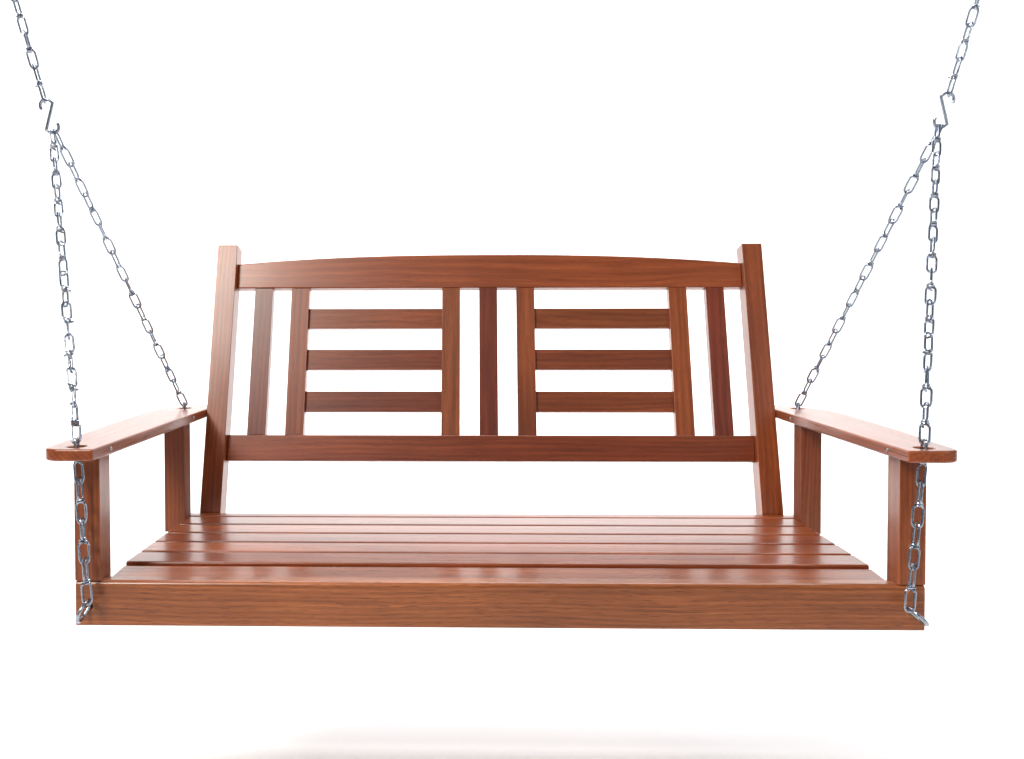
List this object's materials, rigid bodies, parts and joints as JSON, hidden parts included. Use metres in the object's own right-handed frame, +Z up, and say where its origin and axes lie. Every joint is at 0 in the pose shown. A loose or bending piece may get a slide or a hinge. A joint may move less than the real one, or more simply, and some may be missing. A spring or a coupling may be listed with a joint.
{
  "type": "porch swing",
  "caption": "Slatted hardwood porch swing with raked ladder back and wide armrests, hung on chains with S-hooks from overhead eye plates.",
  "frame": {"origin": "middle of the line through the two overhead eyes, the axis the swing turns about", "axes": "+X along the bench to the sitter's left, +Y to the backrest side, +Z up"},
  "size_m": [1.7698, 0.7563, 1.1885],
  "materials": {
    "stained_wood": "satin",
    "slat_wood": "satin",
    "bearer_wood": "satin",
    "zinc": "satin",
    "steel": "satin"
  },
  "bodies": {
    "overhead": {"ceiling_plate_right": "steel", "lag_screw_right_1": "steel", "lag_screw_right_2": "steel", "ceiling_plate_left": "steel", "lag_screw_left_1": "steel", "lag_screw_left_2": "steel"},
    "left_hanger": {"s_hook_left": "zinc", "upper_chain_left": "zinc"},
    "right_hanger": {"s_hook_right": "zinc", "upper_chain_right": "zinc"},
    "bench": {"front_rail": "stained_wood", "rear_rail": "stained_wood", "seat_bearer_right": "bearer_wood", "seat_bearer_centre": "bearer_wood", "seat_bearer_left": "bearer_wood", "seat_slat_1": "slat_wood", "seat_slat_2": "slat_wood", "seat_slat_3": "slat_wood", "seat_slat_4": "slat_wood", "seat_slat_5": "slat_wood", "seat_slat_6": "slat_wood", "arm_post_front_right": "stained_wood", "arm_post_rear_right": "stained_wood", "back_post_right": "stained_wood", "armrest_right": "slat_wood", "panel_slat_right_1": "slat_wood", "panel_slat_right_2": "slat_wood", "panel_slat_right_3": "slat_wood", "arm_screw_front_right": "steel", "arm_screw_rear_right": "steel", "eye_bolt_front_right": "zinc", "eye_bolt_rear_right": "zinc", "eye_nut_front_right": "zinc", "eye_nut_rear_right": "zinc", "chain_front_right": "zinc", "chain_rear_right": "zinc", "arm_post_front_left": "stained_wood", "arm_post_rear_left": "stained_wood", "back_post_left": "stained_wood", "armrest_left": "slat_wood", "panel_slat_left_1": "slat_wood", "panel_slat_left_2": "slat_wood", "panel_slat_left_3": "slat_wood", "arm_screw_front_left": "steel", "arm_screw_rear_left": "steel", "eye_bolt_front_left": "zinc", "eye_bolt_rear_left": "zinc", "eye_nut_front_left": "zinc", "eye_nut_rear_left": "zinc", "chain_front_left": "zinc", "chain_rear_left": "zinc", "back_top_rail": "stained_wood", "back_bottom_rail": "stained_wood", "back_slat_1": "slat_wood", "back_slat_2": "slat_wood", "back_slat_3": "slat_wood", "back_slat_4": "slat_wood", "back_slat_5": "slat_wood", "back_slat_6": "slat_wood", "back_slat_7": "slat_wood"}
  },
  "joints": [
    {"name": "left_swing", "type": "hinge", "parent": "overhead", "child": "left_hanger", "pos_m": [0.84291, 0, 0], "axis": [1, 0, 0], "range_deg": [-25, 25]},
    {"name": "right_swing", "type": "hinge", "parent": "overhead", "child": "right_hanger", "pos_m": [-0.84291, 0, 0], "axis": [1, 0, 0], "range_deg": [-25, 25]},
    {"name": "bench_rock", "type": "hinge", "parent": "left_hanger", "child": "bench", "pos_m": [0.777, 0, -0.28549], "axis": [1, 0, 0], "range_deg": [-10, 10]}
  ],
  "couplings": [
    {"joint": "right_swing", "follows": "left_swing", "ratio": 1}
  ]
}
